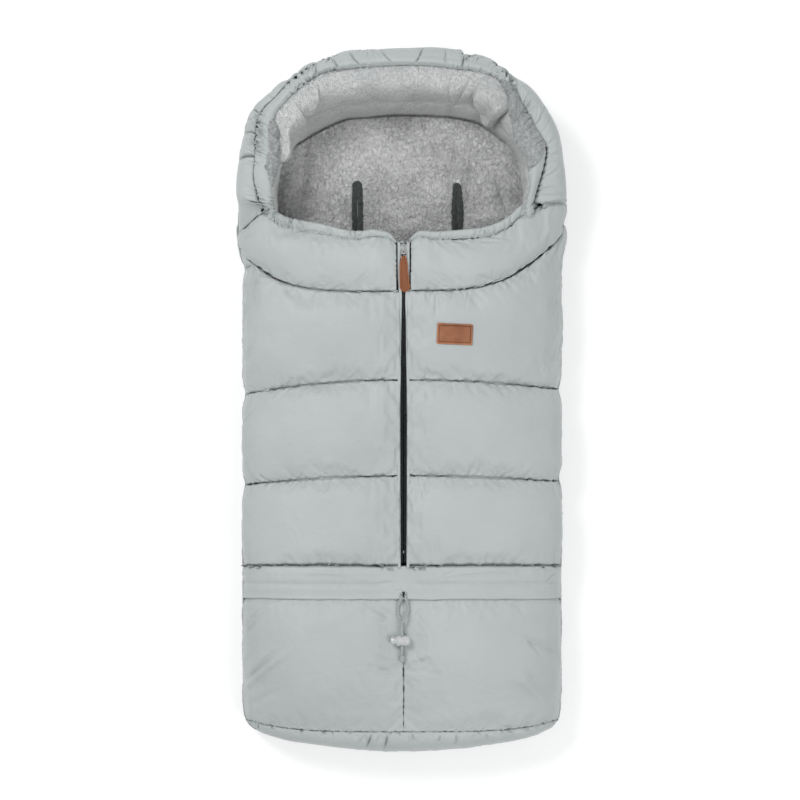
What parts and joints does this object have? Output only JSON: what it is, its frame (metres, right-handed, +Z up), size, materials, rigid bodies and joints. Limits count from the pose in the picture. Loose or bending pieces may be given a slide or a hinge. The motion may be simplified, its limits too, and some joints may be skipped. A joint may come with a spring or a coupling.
{
  "type": "winter footmuff",
  "caption": "Padded footmuff for a pushchair: quilted front with a centre zip, fleece lining, raised gathered hood, harness slots and a drawcord with a cord lock.",
  "frame": {"origin": "on the floor under the middle of the footmuff, which lies on its back", "axes": "+Y towards the hood, +Z up from the back to the front, +X to the right as seen from above with the hood at the top"},
  "size_m": [0.421, 0.899, 0.1415],
  "materials": {
    "shell": "coated woven shell, faint sheen",
    "fleece": "short fleece pile",
    "wadding": "soft fibre wadding",
    "binding": "dark brushed tape",
    "elastic": "woven elastic",
    "cord": "braided elastic cord",
    "leather": "smooth tan leather",
    "zip_black": "black woven tape and coil",
    "zip_metal": "plated die casting",
    "lock_plastic": "pale translucent plastic",
    "spring_steel": "bright wire"
  },
  "bodies": {
    "bag": {"back_outer_panel": "shell", "back_wadding": "wadding", "back_lining": "fleece", "harness_slot_binding_left": "binding", "harness_slot_binding_right": "binding", "crotch_slot_binding": "binding", "hood_shell": "shell", "hood_wadding": "wadding", "hood_lining": "fleece", "hood_rim": "shell", "hood_elastic": "elastic", "foot_left_panel": "shell", "foot_right_panel": "shell", "foot_channel_band": "shell", "foot_wadding": "wadding", "foot_lining": "fleece", "foot_end_gusset": "shell", "foot_end_wadding": "wadding", "foot_end_lining": "fleece", "zip_bottom_stop": "zip_metal", "drawcord_run_left": "cord", "drawcord_run_right": "cord", "drawcord_tail_left": "cord", "drawcord_tail_right": "cord", "cord_knot": "cord"},
    "left_flap": {"front_left_panel": "shell", "front_left_wadding": "wadding", "front_left_lining": "fleece", "collar_left": "shell", "collar_rim_left": "shell", "zip_tape_left": "zip_black", "zip_coil_left": "zip_black", "zip_top_stop_left": "zip_metal"},
    "right_flap": {"front_right_panel": "shell", "front_right_wadding": "wadding", "front_right_lining": "fleece", "collar_right": "shell", "collar_rim_right": "shell", "zip_tape_right": "zip_black", "zip_coil_right": "zip_black", "zip_top_stop_right": "zip_metal", "label_patch": "leather"},
    "slider": {"zip_slider": "zip_metal"},
    "pull": {"zip_puller_link": "zip_metal", "zip_pull_tab": "leather"},
    "lock": {"cord_lock_body": "lock_plastic", "cord_lock_spring": "spring_steel"},
    "plunger": {"cord_lock_plunger": "lock_plastic"}
  },
  "joints": [
    {"name": "left_flap_hinge", "type": "hinge", "parent": "bag", "child": "left_flap", "pos_m": [-0.2035, 0, 0.036], "axis": [0, -1, 0], "range_deg": [0, 140]},
    {"name": "right_flap_hinge", "type": "hinge", "parent": "bag", "child": "right_flap", "pos_m": [0.2035, 0, 0.036], "axis": [0, 1, 0], "range_deg": [0, 140]},
    {"name": "zip_slide", "type": "slide", "parent": "left_flap", "child": "slider", "axis": [0, -1, 0], "range_m": [0, 0.3765]},
    {"name": "pull_swing", "type": "hinge", "parent": "slider", "child": "pull", "pos_m": [0.002, 0.1935, 0.11245], "axis": [-1, 0, 0], "range_deg": [0, 150]},
    {"name": "lock_slide", "type": "slide", "parent": "bag", "child": "lock", "axis": [0, 1, 0], "range_m": [-0.006, 0.012]},
    {"name": "plunger_press", "type": "slide", "parent": "lock", "child": "plunger", "axis": [1, 0, 0], "range_m": [0, 0.003], "stiffness_N_per_m": 400, "springref_m": -0.004, "deforming": ["cord_lock_spring"]}
  ]
}
